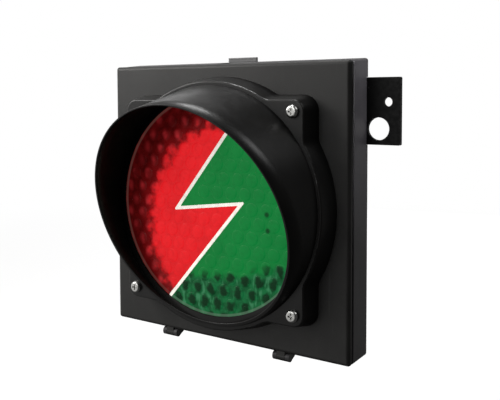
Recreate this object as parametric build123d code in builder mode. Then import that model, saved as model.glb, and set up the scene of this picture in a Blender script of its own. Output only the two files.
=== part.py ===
"""Single-aspect LED traffic signal head: a shallow square housing with a door hinged along its
bottom edge, a round cut-away visor screwed to the door, a split red and green lens and a steel
wall bracket let into the back.

Frame: millimetres, +Z up, the lens looks along -Y, so the viewer's right is +X.
Origin: on the lens axis, in the flat rear face of the housing.
"D" in a name is the distance in front of that rear face, so D = -Y.
Names ending in R are radii, in T thicknesses, in W widths, in H heights.
"""
from build123d import *
import math
import os

os.makedirs("parts", exist_ok=True)

# ---------------------------------------------------------------- driving dimensions
RUN = 0.05              # radial running clearance

# housing and door
SIDE = 165.0            # square housing and door, side length
CORNER_R = 1.6          # corner radius of housing and door seen from the front
WALL = 3.0              # housing wall and back
HOUSING_D = 19.0        # depth of the rear housing
ROOF_RISE = 1.8         # the roof of the rear housing is this much higher at the back
RIM_W = 10.0            # width of the housing's front rim
RIM_T = 3.0
BACK_RIB_H = 3.0        # cross ribs on the inside of the back
GAP = 2.0               # shadow gap between housing and door, filled inside by the gasket
GASKET_SIDE = SIDE - 13.0
GASKET_W = 3.0
DOOR_T = 3.0
DOOR_BACK = HOUSING_D + GAP
DOOR_FRONT = DOOR_BACK + DOOR_T
DOOR_BORE_R = 60.0      # round opening in the door
SKIRT_H = 4.0           # depth of the locating skirt behind the door
SKIRT_T = 2.0
SKIRT_BACK = DOOR_BACK - SKIRT_H
SKIRT_SIDE = SIDE - 2 * RIM_W - 1.0
DOOR_RIB_H = 2.5

# visor
FLANGE_H = 13.0         # visor flange, height in front of the door
FLANGE_FRONT = DOOR_FRONT + FLANGE_H
FLANGE_BASE_R = 75.0
FLANGE_DRAFT = 12.0     # draft angle of the flange's outside
FLANGE_BORE_R = 69.3    # bore of the visor flange behind its lip
LIP_R = 64.5            # clear radius in front of the lens
LIP_T = 1.3
HOOD_R = 69.8           # hood outer radius at HOOD_REF_D
HOOD_REF_D = 38.0
HOOD_TAPER = 0.2328     # radius lost per millimetre forward
HOOD_ROOT_D = 36.5      # the hood starts just inside the flange front
HOOD_ROOT_T = 2.0
HOOD_FAR_D = 90.0       # the hood is turned out to here before its front is cut
HOOD_FAR_T = 0.7        # wall at HOOD_FAR_D, the wall thins towards the rim
HOOD_CUT_D = 61.5       # slanted front cut: D at mid height
HOOD_CUT_SLOPE = 0.352  # D gained per millimetre upward
EAR_P = 55.2            # visor fixings stand at (+-EAR_P, +-EAR_P)
EAR_HALF = 64.2         # half width of the rounded square whose corners are the ears
EAR_R = 9.0
PEG_R, PEG_H = 2.4, 2.0
# three ears are screwed, the one at the viewer's top left only locates the visor with a peg
EARS = [(EAR_P, EAR_P), (EAR_P, -EAR_P), (-EAR_P, -EAR_P)]
PEG = (-EAR_P, EAR_P)
VISOR_SCREW_R = 2.0
VISOR_HOLE_R = 2.2
VISOR_NUT_INNER_R = 3.5  # across flats, halved
VISOR_NUT_T = 3.2

# lens
LENS_R = 66.4
LENS_T = 3.0
LENS_FRONT = 35.0
LENS_BACK = LENS_FRONT - LENS_T
SEAL_FRONT = FLANGE_FRONT - LIP_T
SEAL_BACK = LENS_BACK - 0.7
SEAL_R = 69.1           # outside of the lens gasket and of the retainer ring
SEAL_BORE_R = 65.0
DIVIDER_W = 1.9         # width of the white divider strip

# hinges
HINGES_X = (-40.0, 40.0)
HINGE_D = 21.2
HINGE_Z = -85.2
KNUCKLE_R = 2.5
HINGE_PIN_R = 1.25
KNUCKLE_W = 5.2         # door knuckle between its two housing leaves
LEAF_T = 2.6
LEAF_GAP = 0.15
HINGE_W = KNUCKLE_W + 2 * (LEAF_T + LEAF_GAP)

# latch
LATCH_X = 1.5           # latch centre line
LEVER_W = 20.0
LATCH_D, LATCH_Z = 9.5, 78.6    # pivot of the lever
LATCH_PIN_R = 1.25
LATCH_PIN_L = 27.0      # also the width of the block that holds the pin
LATCH_BLOCK_FLOOR = 74.0
POCKET_W = 21.0
POCKET_FLOOR = 76.0
POCKET_H = 9.0          # reaches out through the roof
LEVER_FLAT_Z = 78.0     # underside of the lever's nose
RIVET_D = 13.8
RIVET_R = 1.0

# wall bracket
BRACKET_T = 2.5
BRACKET_X0, BRACKET_X1 = -61.0, 101.8
BRACKET_Z0, BRACKET_Z1 = 36.5, 73.5
BRACKET_MID_Z = (BRACKET_Z0 + BRACKET_Z1) / 2
BRACKET_PLAY = 0.2      # clearance around the bracket in its channel
BRACKET_FIX = [(-45.0, BRACKET_MID_Z), (45.0, BRACKET_MID_Z)]
BRACKET_SCREW_R = 2.0
EAR_SCREW, EAR_SCREW_R = (94.7, 60.0), 2.5  # small hole in the bracket ear
EAR_BOLT, EAR_BOLT_R = (89.3, 45.3), 6.25   # large hole in the bracket ear
CHANNEL_X1 = 90.0       # the channel is cut out past the housing's side
PAD_FRONT = 6.0
INSERT_BACK = 4.0
INSERT_R = 2.8
INSERT_L = 6.6

# boards
PCB_T = 1.6
LED_BOARD_R = 67.0
LED_BOARD_BACK = DOOR_BACK - PCB_T
DRIVER_X, DRIVER_Z = 8.0, -38.0     # centre of the driver board
DRIVER_W, DRIVER_H = 100.0, 56.0
DRIVER_BACK = 6.0
DRIVER_FRONT = DRIVER_BACK + PCB_T
BOARD_HOLE_R = 1.6
BOARD_SCREW_R = 1.5
BOARD_PILOT_R = 1.55
BOARD_HEAD_R, BOARD_HEAD_H = 2.75, 1.9
LED_FIX = [
    (64 * math.cos(math.radians(angle)), 64 * math.sin(math.radians(angle)))
    for angle in (0, 90, 180, 270)
]

# cable entry and wiring
GROMMET_X, GROMMET_Z = -61.0, -38.0
GROMMET_R = 7.0         # hole in the back
PLUG_X = -4.0           # both plug connectors stand on this line
PLUG_W, PLUG_H, PLUG_T = 11.0, 7.0, 5.0
PLUG_RECESS = 1.5
LED_PLUG_Z = -56.0      # lower end of the plug on the LED board
DRIVER_PLUG_Z = -65.0   # lower end of the plug on the driver board
LEAD_R = 0.75
LEAD_PITCH = 2.4
LEADS_X = [PLUG_X + (k - 1.5) * LEAD_PITCH for k in range(4)]


# ---------------------------------------------------------------- helpers
def front(d):
    """Plane facing forward, d in front of the rear face; local axes are X and Z."""
    return Plane.XZ.offset(d)


def side(x):
    """Plane facing +X at x; local axes are Y and Z."""
    return Plane.YZ.offset(x)


def level(z):
    """Plane facing up at z; local axes are X and Y."""
    return Plane.XY.offset(z)


def turning_plane(x, z):
    """Level plane through the axis (x, z); local axes are the radius and Y."""
    return Plane(origin=(x, 0, z), x_dir=(1, 0, 0), z_dir=(0, 0, 1))


def four_around(x, z, dx, dz):
    """The four corners at (x +- dx, z +- dz)."""
    return [(x + i * dx, z + j * dz) for i in (-1, 1) for j in (-1, 1)]


def circles(places, radius, mode=Mode.ADD):
    """Equal circles in the open sketch."""
    with Locations(*places):
        Circle(radius, mode=mode)


def crosses(places, length, width):
    """Outlines of cross recesses in the open sketch."""
    with Locations(*places):
        Rectangle(length, width)
        Rectangle(width, length)


DRIVER_FIX = four_around(DRIVER_X, DRIVER_Z, 46, 24)


# ---------------------------------------------------------------- rear housing
LEAF_PROFILE = [        # (y, z) web between a hinge leaf's eye and the bottom wall
    (-HINGE_D, HINGE_Z + KNUCKLE_R), (-HOUSING_D, HINGE_Z + KNUCKLE_R),
    (-HOUSING_D, -81.4), (-11.0, -81.4), (-11.0, -82.5), (-15.0, -84.9),
    (-HINGE_D, HINGE_Z - KNUCKLE_R),
]


def rear_housing():
    half = SIDE / 2
    with BuildPart() as housing:
        # side profile with a roof that falls towards the front
        with BuildSketch(side(-half)):
            with BuildLine():
                Polyline(
                    (0, -half), (0, half + ROOF_RISE), (-HOUSING_D, half), (-HOUSING_D, -half),
                    close=True,
                )
            make_face()
        extrude(amount=SIDE)
        fillet(
            housing.edges().filter_by(
                lambda e: abs(abs(e.center().X) - half) < 0.01
                and abs(e.center().Z) > half - 0.01
            ),
            CORNER_R,
        )
        fillet(housing.faces().sort_by(Axis.Y)[-1].edges(), 1.0)
        chamfer(housing.faces().sort_by(Axis.Y)[0].edges(), 0.5)
        # inside, then the narrower opening in the rim
        with BuildSketch(front(WALL)):
            RectangleRounded(SIDE - 2 * WALL, SIDE - 2 * WALL, 1.5)
        extrude(amount=HOUSING_D - RIM_T - WALL, mode=Mode.SUBTRACT)
        with BuildSketch(front(HOUSING_D - RIM_T)):
            RectangleRounded(SIDE - 2 * RIM_W, SIDE - 2 * RIM_W, 2.0)
        extrude(amount=RIM_T, mode=Mode.SUBTRACT)
        # thick pad that carries the bracket channel
        with BuildSketch(front(WALL)):
            with Locations((8.0, BRACKET_MID_Z)):
                Rectangle(144.0, 43.0)
        extrude(amount=PAD_FRONT - WALL)
        # bosses for the bracket inserts
        with BuildSketch(front(PAD_FRONT)):
            circles(BRACKET_FIX, 5.0)
        extrude(amount=5.0)
        # cross ribs that stiffen the back
        with BuildSketch(front(WALL)):
            with Locations((-38.0, 8.0), (38.0, 8.0)):
                Rectangle(2.0, 52.0)
            with Locations((0.0, 8.0)):
                Rectangle(SIDE - 2 * WALL, 2.0)
            with Locations((74.0, -38.0)):
                Rectangle(2.0, 92.0)
        extrude(amount=BACK_RIB_H)
        # posts for the driver board
        with BuildSketch(front(WALL)):
            circles(DRIVER_FIX, 3.4)
        extrude(amount=DRIVER_BACK - WALL)
        # latch pocket block
        with BuildSketch(front(0)):
            with Locations((LATCH_X, (LATCH_BLOCK_FLOOR + half) / 2)):
                Rectangle(LATCH_PIN_L, half - LATCH_BLOCK_FLOOR)
        extrude(amount=HOUSING_D)
        # hinge lugs under the bottom wall, one leaf each side of every door knuckle
        for x in HINGES_X:
            for leaf_x in (x - HINGE_W / 2, x + HINGE_W / 2 - LEAF_T):
                with BuildSketch(side(leaf_x)):
                    circles([(-HINGE_D, HINGE_Z)], KNUCKLE_R)
                    with BuildLine():
                        Polyline(*LEAF_PROFILE, close=True)
                    make_face()
                extrude(amount=LEAF_T)
        # latch pocket and the bore for its pin
        with BuildSketch(front(0)):
            with Locations((LATCH_X, POCKET_FLOOR + POCKET_H / 2)):
                Rectangle(POCKET_W, POCKET_H)
        extrude(amount=HOUSING_D + 1, mode=Mode.SUBTRACT)
        with BuildSketch(side(LATCH_X - LATCH_PIN_L / 2)):
            circles([(-LATCH_D, LATCH_Z)], LATCH_PIN_R)
        extrude(amount=LATCH_PIN_L, mode=Mode.SUBTRACT)
        # bracket channel, open at the viewer's right
        channel_x0 = BRACKET_X0 - BRACKET_PLAY
        with BuildSketch(front(0)):
            with Locations(((channel_x0 + CHANNEL_X1) / 2, BRACKET_MID_Z)):
                Rectangle(CHANNEL_X1 - channel_x0, BRACKET_Z1 - BRACKET_Z0 + 2 * BRACKET_PLAY)
        extrude(amount=BRACKET_T, mode=Mode.SUBTRACT)
        # screw, insert, board-screw and grommet holes: start D, places, radius, depth
        for d, places, radius, depth in (
            (BRACKET_T, BRACKET_FIX, 2.2, 3.0),
            (INSERT_BACK, BRACKET_FIX, INSERT_R, 8.0),
            (1.2, DRIVER_FIX, BOARD_PILOT_R, 6.0),
            (0, [(GROMMET_X, GROMMET_Z)], GROMMET_R, WALL),
        ):
            with BuildSketch(front(d)):
                circles(places, radius)
            extrude(amount=depth, mode=Mode.SUBTRACT)
        for x in HINGES_X:
            with BuildSketch(side(x - HINGE_W / 2)):
                circles([(-HINGE_D, HINGE_Z)], HINGE_PIN_R)
            extrude(amount=HINGE_W, mode=Mode.SUBTRACT)
    return housing.part


def housing_gasket():
    inner = GASKET_SIDE - 2 * GASKET_W
    with BuildPart() as gasket:
        with BuildSketch(front(HOUSING_D)):
            RectangleRounded(GASKET_SIDE, GASKET_SIDE, 3.0)
            RectangleRounded(inner, inner, 2.0, mode=Mode.SUBTRACT)
        extrude(amount=GAP)
    return gasket.part


# ---------------------------------------------------------------- front door
CATCH_BACK = 15.0
CATCH_Z = 81.3
KNUCKLE_PROFILE = [     # (y, z) web between a door knuckle's eye and the door plate
    (-23.6, HINGE_Z), (-23.2, -81.0), (-DOOR_BACK, -81.0), (-DOOR_BACK, -82.0),
    (-19.1, -84.6), (-HINGE_D, HINGE_Z),
]


def front_door():
    with BuildPart() as door:
        with BuildSketch(front(DOOR_BACK)):
            RectangleRounded(SIDE, SIDE, CORNER_R)
        extrude(amount=DOOR_T)
        fillet(door.faces().sort_by(Axis.Y)[0].edges(), 2.3)
        # locating skirt
        inner = SKIRT_SIDE - 2 * SKIRT_T
        with BuildSketch(front(SKIRT_BACK)):
            RectangleRounded(SKIRT_SIDE, SKIRT_SIDE, 2.0)
            RectangleRounded(inner, inner, 1.0, mode=Mode.SUBTRACT)
        extrude(amount=SKIRT_H)
        # bosses for the visor nuts
        with BuildSketch(front(SKIRT_BACK)):
            circles(EARS, 6.2)
        extrude(amount=SKIRT_H)
        # stiffening ribs, two in each corner
        with BuildSketch(front(DOOR_BACK - DOOR_RIB_H)):
            with Locations(*four_around(0, 0, 55.5, 66.0)):
                Rectangle(1.6, 10.0)
            with Locations(*four_around(0, 0, 66.0, 55.5)):
                Rectangle(10.0, 1.6)
        extrude(amount=DOOR_RIB_H)
        # latch catch, a tongue with a window, behind the top edge
        with BuildSketch(front(CATCH_BACK)):
            with Locations((LATCH_X, CATCH_Z)):
                Rectangle(16.0, 2.0)
        extrude(amount=DOOR_BACK - CATCH_BACK)
        with BuildSketch(front(CATCH_BACK + 1.9)):
            with Locations((LATCH_X, CATCH_Z)):
                Rectangle(10.4, 3.0)
        extrude(amount=2.7, mode=Mode.SUBTRACT)
        # hinge knuckles
        for x in HINGES_X:
            with BuildSketch(side(x - KNUCKLE_W / 2)):
                circles([(-HINGE_D, HINGE_Z)], KNUCKLE_R)
                with BuildLine():
                    Polyline(*KNUCKLE_PROFILE, close=True)
                make_face()
            extrude(amount=KNUCKLE_W)
            with BuildSketch(side(x - KNUCKLE_W / 2)):
                circles([(-HINGE_D, HINGE_Z)], HINGE_PIN_R + RUN)
            extrude(amount=KNUCKLE_W, mode=Mode.SUBTRACT)
        # lens opening, then the visor screw holes with their nut pockets
        with BuildSketch(front(SKIRT_BACK)):
            Circle(DOOR_BORE_R)
        extrude(amount=SKIRT_H + DOOR_T, mode=Mode.SUBTRACT)
        with BuildSketch(front(SKIRT_BACK)):
            circles(EARS, VISOR_HOLE_R)
        extrude(amount=SKIRT_H + DOOR_T, mode=Mode.SUBTRACT)
        with BuildSketch(front(SKIRT_BACK)):
            with Locations(*EARS):
                RegularPolygon(
                    radius=VISOR_NUT_INNER_R + RUN, side_count=6, major_radius=False
                )
        extrude(amount=VISOR_NUT_T, mode=Mode.SUBTRACT)
        # blind holes for the visor peg in front and the LED board screws behind
        with BuildSketch(front(DOOR_FRONT - 2.2)):
            circles([PEG], PEG_R + 0.1)
        extrude(amount=2.2, mode=Mode.SUBTRACT)
        with BuildSketch(front(DOOR_BACK)):
            circles(LED_FIX, BOARD_PILOT_R)
        extrude(amount=2.4, mode=Mode.SUBTRACT)
    return door.part


# ---------------------------------------------------------------- visor
def visor():
    """Flange, four ears and hood in one moulding."""
    far_r = HOOD_R - HOOD_TAPER * (HOOD_FAR_D - HOOD_REF_D)
    root_r = HOOD_R + HOOD_TAPER * (HOOD_REF_D - HOOD_ROOT_D)
    cut_plane = Plane(origin=(0, -HOOD_CUT_D, 0), z_dir=(0, 1, HOOD_CUT_SLOPE))
    with BuildPart() as moulding:
        with BuildSketch(Plane.XY):
            with BuildLine():
                Polyline(
                    (root_r, -HOOD_ROOT_D), (far_r, -HOOD_FAR_D),
                    (far_r - HOOD_FAR_T, -HOOD_FAR_D), (root_r - HOOD_ROOT_T, -HOOD_ROOT_D),
                    close=True,
                )
            make_face()
        revolve(axis=Axis.Y)
        split(bisect_by=cut_plane, keep=Keep.TOP)
        rim_edges = moulding.faces().filter_by(cut_plane).edges().filter_by(
            lambda e: e.length > 50
        )
        fillet(rim_edges, 0.35)
        # flange and its four corner ears share one drafted outline with soft inner corners
        with BuildSketch(front(DOOR_FRONT)) as outline:
            Circle(FLANGE_BASE_R)
            RectangleRounded(2 * EAR_HALF, 2 * EAR_HALF, EAR_R)
            fillet(
                outline.vertices().filter_by(
                    lambda v: abs(math.hypot(v.X, v.Y) - FLANGE_BASE_R) < 0.01
                    and max(abs(v.X), abs(v.Y)) > EAR_HALF - 0.01
                ),
                7.0,
            )
        extrude(amount=FLANGE_H, taper=FLANGE_DRAFT)
        # outer edge of the flange front
        fillet(
            moulding.edges().filter_by(
                lambda e: abs(e.center().Y + FLANGE_FRONT) < 0.01
                and min(math.hypot(v.X, v.Z) for v in e.vertices()) > HOOD_R + 1.5
            ),
            0.9,
        )
        # bore, lip opening and screw holes
        with BuildSketch(front(DOOR_FRONT)):
            Circle(FLANGE_BORE_R)
        extrude(amount=FLANGE_H - LIP_T, mode=Mode.SUBTRACT)
        with BuildSketch(front(FLANGE_FRONT - LIP_T)):
            Circle(LIP_R)
        extrude(amount=LIP_T + 0.5, mode=Mode.SUBTRACT)
        with BuildSketch(front(DOOR_FRONT)):
            circles(EARS, VISOR_HOLE_R)
        extrude(amount=FLANGE_H, mode=Mode.SUBTRACT)
        # locating peg behind the top left ear
        with BuildSketch(front(DOOR_FRONT - PEG_H)):
            circles([PEG], PEG_R)
        extrude(amount=PEG_H)
    return moulding.part


# ---------------------------------------------------------------- lens
# Two coloured segments part along a zigzag with a white divider.
def unit(start, end):
    """Unit vector from start to end."""
    dx, dz = end[0] - start[0], end[1] - start[1]
    length = math.hypot(dx, dz)
    return (dx / length, dz / length)


def stretch(end, inner, share):
    """The end point run on along its own leg by a share of the leg's length."""
    return tuple(e + (e - i) * share for e, i in zip(end, inner))


def offset_line(points, shift):
    """The polyline moved to its left, with mitred corners.

    The outside of a sharp corner is cut blunt.
    """
    normals = []
    for start, end in zip(points, points[1:]):
        along_x, along_z = unit(start, end)
        normals.append((-along_z, along_x))
    moved = []
    for i, (x, z) in enumerate(points):
        near = normals[max(i - 1, 0):i + 1]
        mitre = unit((0, 0), (sum(n[0] for n in near), sum(n[1] for n in near)))
        reach = shift / (mitre[0] * near[0][0] + mitre[1] * near[0][1])
        tip = (x + mitre[0] * reach, z + mitre[1] * reach)
        legs = []
        if len(near) == 2:
            legs = [unit((x, z), points[i - 1]), unit((x, z), points[i + 1])]
        outside = sum(
            (tip[0] - x) * leg[0] + (tip[1] - z) * leg[1] for leg in legs
        ) < 0
        if outside and abs(reach) > 1.5 * abs(shift):
            back = 0.5 * abs(reach) / math.sqrt(1.0 - (shift / reach) ** 2)
            moved += [(tip[0] + leg[0] * back, tip[1] + leg[1] * back) for leg in legs]
        else:
            moved.append(tip)
    return moved


# (x, z) corners of the zigzag from the top down; its ends run out past the lens edge
ZIGZAG = [(23.2, 57.5), (-24.3, -3.3), (21.6, 2.8), (-29.7, -57.0)]
ZIGZAG[0] = stretch(ZIGZAG[0], ZIGZAG[1], 0.25)
ZIGZAG[3] = stretch(ZIGZAG[3], ZIGZAG[2], 0.25)
RIGHT_EDGE = offset_line(ZIGZAG, DIVIDER_W / 2)     # viewer's right
LEFT_EDGE = offset_line(ZIGZAG, -DIVIDER_W / 2)
# closed (x, z) outlines, generous outside the lens
GREEN_OUTLINE = RIGHT_EDGE + [(-30.0, -95.0), (95.0, -95.0), (95.0, 95.0), (40.0, 95.0)]
RED_OUTLINE = LEFT_EDGE + [(-40.0, -95.0), (-95.0, -95.0), (-95.0, 95.0), (30.0, 95.0)]
DIVIDER_OUTLINE = LEFT_EDGE + RIGHT_EDGE[::-1]


def lens_pane(outline):
    """The part of the lens disc inside the outline."""
    with BuildPart() as pane:
        with BuildSketch(front(LENS_BACK)):
            Circle(LENS_R)
            with BuildLine():
                Polyline(*outline, close=True)
            make_face(mode=Mode.INTERSECT)
        extrude(amount=LENS_T)
    return pane.part


def lens_red():
    return lens_pane(RED_OUTLINE)


def lens_green():
    return lens_pane(GREEN_OUTLINE)


def lens_divider():
    """Strip as thick as the lens, with a raised part in front; start D, disc radius, height."""
    with BuildPart() as divider:
        for d, radius, height in ((LENS_BACK, LENS_R, LENS_T), (LENS_FRONT, 64.2, 0.5)):
            with BuildSketch(front(d)):
                Circle(radius)
                with BuildLine():
                    Polyline(*DIVIDER_OUTLINE, close=True)
                make_face(mode=Mode.INTERSECT)
            extrude(amount=height)
    return divider.part


def lens_gasket():
    """Channel-section ring around the lens edge."""
    with BuildPart() as gasket:
        with BuildSketch(Plane.XY):
            with BuildLine():
                Polyline(
                    (SEAL_R, -SEAL_FRONT), (SEAL_BORE_R, -SEAL_FRONT),
                    (SEAL_BORE_R, -LENS_FRONT), (LENS_R, -LENS_FRONT),
                    (LENS_R, -LENS_BACK), (SEAL_BORE_R, -LENS_BACK),
                    (SEAL_BORE_R, -SEAL_BACK), (SEAL_R, -SEAL_BACK), close=True,
                )
            make_face()
        revolve(axis=Axis.Y)
    return gasket.part


def lens_retainer():
    with BuildPart() as ring:
        with BuildSketch(front(DOOR_FRONT)):
            Circle(SEAL_R)
            Circle(63.2, mode=Mode.SUBTRACT)
        extrude(amount=SEAL_BACK - DOOR_FRONT)
    return ring.part


# ---------------------------------------------------------------- LED board, behind the door
LED_PITCH = 9.4
LED_FIELD_R = 55.5      # LED centres lie within this radius
LED_LINE_GAP = 3.2      # and at least this far from the zigzag


def led_board():
    with BuildPart() as board:
        with BuildSketch(front(LED_BOARD_BACK)):
            Circle(LED_BOARD_R)
            circles(LED_FIX, BOARD_HOLE_R, Mode.SUBTRACT)
        extrude(amount=PCB_T)
    return board.part


def inside(outline, x, z):
    """True when (x, z) lies inside the closed outline."""
    hit = False
    for (x0, z0), (x1, z1) in zip(outline, outline[1:] + outline[:1]):
        if (z0 > z) != (z1 > z) and x < x0 + (z - z0) / (z1 - z0) * (x1 - x0):
            hit = not hit
    return hit


def line_gap(points, x, z):
    """Distance from (x, z) to the polyline."""
    gaps = []
    for (x0, z0), (x1, z1) in zip(points, points[1:]):
        dx, dz = x1 - x0, z1 - z0
        along = ((x - x0) * dx + (z - z0) * dz) / (dx * dx + dz * dz)
        along = max(0.0, min(1.0, along))
        gaps.append(math.hypot(x - x0 - along * dx, z - z0 - along * dz))
    return min(gaps)


def leds_within(outline):
    """Domed LEDs with a collar, on the staggered grid points behind one lens segment."""
    spots = []
    for j in range(-7, 8):
        for i in range(-7, 8):
            x = (i + 0.5 * (j % 2)) * LED_PITCH
            z = j * LED_PITCH * 0.866
            in_field = math.hypot(x, z) < LED_FIELD_R
            if in_field and line_gap(ZIGZAG, x, z) > LED_LINE_GAP and inside(outline, x, z):
                spots.append((x, z))
    with BuildPart() as leds:
        for radius, height in ((2.9, 1.0), (2.5, 8.4)):
            with BuildSketch(front(DOOR_BACK)):
                circles(spots, radius)
            extrude(amount=height)
        fillet(leds.faces().sort_by(Axis.Y)[: len(spots)].edges(), 2.1)
    return leds.part


def red_leds():
    return leds_within(RED_OUTLINE)


def green_leds():
    return leds_within(GREEN_OUTLINE)


def led_resistors():
    height = 0.8
    with BuildPart() as resistors:
        with BuildSketch(front(LED_BOARD_BACK - height)):
            with GridLocations(13.0, 18.0, 6, 4):
                Rectangle(5.0, 2.5)
        extrude(amount=height)
    return resistors.part


# ---------------------------------------------------------------- parts both boards use
def plug(rear_d, lower_z, free_face):
    """Plug connector; free_face is the index along Y of the face away from the board."""
    with BuildPart() as body:
        with BuildSketch(front(rear_d)):
            with Locations((PLUG_X, lower_z + PLUG_H / 2)):
                Rectangle(PLUG_W, PLUG_H)
        extrude(amount=PLUG_T)
        free_edges = body.faces().sort_by(Axis.Y)[free_face].edges()
        chamfer(free_edges.filter_by(Axis.X).sort_by(Axis.Z)[-1], 1.0)
        # the leads leave from a shallow recess in the lower end
        with BuildSketch(level(lower_z)):
            with Locations((PLUG_X, -(rear_d + PLUG_T / 2))):
                Rectangle(9.6, 3.0)
        extrude(amount=PLUG_RECESS, mode=Mode.SUBTRACT)
    return body.part


def led_connector():
    return plug(LED_BOARD_BACK - PLUG_T, LED_PLUG_Z, free_face=-1)


def driver_connector():
    return plug(DRIVER_FRONT, DRIVER_PLUG_Z, free_face=0)


def board_screws(places, head_d, shank_d, shank_length, recess_d, recess_depth):
    """Cross-recessed screws; each D is the rear end of its feature."""
    with BuildPart() as screws:
        with BuildSketch(front(head_d)):
            circles(places, BOARD_HEAD_R)
        extrude(amount=BOARD_HEAD_H)
        with BuildSketch(front(shank_d)):
            circles(places, BOARD_SCREW_R)
        extrude(amount=shank_length)
        with BuildSketch(front(recess_d)):
            crosses(places, 3.4, 0.7)
        extrude(amount=recess_depth, mode=Mode.SUBTRACT)
    return screws.part


def led_board_screws():
    """Driven from behind into the door."""
    head_d = LED_BOARD_BACK - BOARD_HEAD_H
    return board_screws(
        LED_FIX, head_d=head_d, shank_d=LED_BOARD_BACK, shank_length=3.8,
        recess_d=head_d, recess_depth=1.0,
    )


def driver_screws():
    """Driven from the front into the housing's posts."""
    tip_d = 1.6
    return board_screws(
        DRIVER_FIX, head_d=DRIVER_FRONT, shank_d=tip_d, shank_length=DRIVER_FRONT - tip_d,
        recess_d=DRIVER_FRONT + 0.9, recess_depth=1.5,
    )


# ---------------------------------------------------------------- visor fasteners
def visor_screws():
    tip_d = SKIRT_BACK - 1.0
    with BuildPart() as screws:
        with BuildSketch(front(FLANGE_FRONT)):
            circles(EARS, 3.6)
        extrude(amount=2.4)
        fillet(screws.faces().sort_by(Axis.Y)[: len(EARS)].edges(), 1.5)
        with BuildSketch(front(tip_d)):
            circles(EARS, VISOR_SCREW_R)
        extrude(amount=FLANGE_FRONT - tip_d)
        with BuildSketch(front(FLANGE_FRONT + 1.1)):
            crosses(EARS, 3.6, 0.9)
        extrude(amount=2.0, mode=Mode.SUBTRACT)
    return screws.part


def visor_nuts():
    with BuildPart() as nuts:
        with BuildSketch(front(SKIRT_BACK)):
            with Locations(*EARS):
                RegularPolygon(radius=VISOR_NUT_INNER_R, side_count=6, major_radius=False)
                Circle(VISOR_SCREW_R + RUN, mode=Mode.SUBTRACT)
        extrude(amount=VISOR_NUT_T)
    return nuts.part


def hinge_pins():
    with BuildPart() as pins:
        for x in HINGES_X:
            with BuildSketch(side(x - HINGE_W / 2)):
                circles([(-HINGE_D, HINGE_Z)], HINGE_PIN_R)
            extrude(amount=HINGE_W)
    return pins.part


# ---------------------------------------------------------------- latch
LEVER_PROFILE = [       # (y, z) from the nose over the pivot to the finger tab and back
    (-17.6, 78.2), (-17.6, 79.4), (-12.2, 79.4), (-11.0, 80.9), (-8.4, 80.9), (-7.0, 80.3),
    (-2.5, 80.3), (-2.5, 86.9), (-0.6, 86.9), (-0.6, 78.3), (-7.4, LEVER_FLAT_Z),
    (-11.6, LEVER_FLAT_Z),
]
BLADE_W = 9.0
BLADE_PROFILE = [       # (y, z) flat blade with a hooked front end
    (-12.3, 79.4), (-17.7, 79.4), (-18.6, 81.3), (-19.0, 79.9), (-19.35, 80.05),
    (-18.75, 81.9), (-18.25, 81.9), (-17.25, 80.0), (-12.3, 80.0),
]
RIVET_PLACE = [(LATCH_X, -RIVET_D)]     # (x, y)


def latch_lever():
    side_x = LATCH_X - LEVER_W / 2
    with BuildPart() as lever:
        with BuildSketch(side(side_x)):
            circles([(-LATCH_D, LATCH_Z)], 2.3)
            with BuildLine():
                Polyline(*LEVER_PROFILE, close=True)
            make_face()
        extrude(amount=LEVER_W)
        fillet(lever.edges().filter_by(Axis.X).group_by(Axis.Z)[-1], 0.5)
        with BuildSketch(side(side_x)):
            circles([(-LATCH_D, LATCH_Z)], LATCH_PIN_R + RUN)
        extrude(amount=LEVER_W, mode=Mode.SUBTRACT)
        with BuildSketch(level(LEVER_FLAT_Z)):
            circles(RIVET_PLACE, RIVET_R)
        extrude(amount=2.0, mode=Mode.SUBTRACT)
        # grip grooves across the finger tab
        with BuildSketch(side(side_x)):
            with Locations((-2.5, 82.6), (-2.5, 84.2), (-2.5, 85.8)):
                Rectangle(0.6, 0.5)
        extrude(amount=LEVER_W, mode=Mode.SUBTRACT)
    return lever.part


def latch_blade():
    with BuildPart() as blade:
        with BuildSketch(side(LATCH_X - BLADE_W / 2)):
            with BuildLine():
                Polyline(*BLADE_PROFILE, close=True)
            make_face()
        extrude(amount=BLADE_W)
        with BuildSketch(level(79.0)):
            circles(RIVET_PLACE, RIVET_R)
        extrude(amount=2.0, mode=Mode.SUBTRACT)
    return blade.part


def latch_rivet():
    head_h, grip = 0.4, 2.0
    with BuildPart() as rivet:
        # lower head, shank, upper head: start z, radius, height
        for z, radius, height in (
            (LEVER_FLAT_Z - head_h, 1.7, head_h),
            (LEVER_FLAT_Z, RIVET_R, grip),
            (LEVER_FLAT_Z + grip, 1.4, 0.25),
        ):
            with BuildSketch(level(z)):
                circles(RIVET_PLACE, radius)
            extrude(amount=height)
    return rivet.part


def latch_pin():
    with BuildPart() as pin:
        with BuildSketch(side(LATCH_X - LATCH_PIN_L / 2)):
            circles([(-LATCH_D, LATCH_Z)], LATCH_PIN_R)
        extrude(amount=LATCH_PIN_L)
    return pin.part


def latch_spring():
    with BuildPart() as spring:
        with BuildLine() as coil:
            Helix(pitch=0.75, height=1.5, radius=1.5, center=(LATCH_X + 6.5, -15.6, 76.3))
        with BuildSketch(Plane(origin=coil.line @ 0, z_dir=coil.line % 0)):
            Circle(0.22)
        sweep(path=coil.line, is_frenet=True)
    return spring.part


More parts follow.
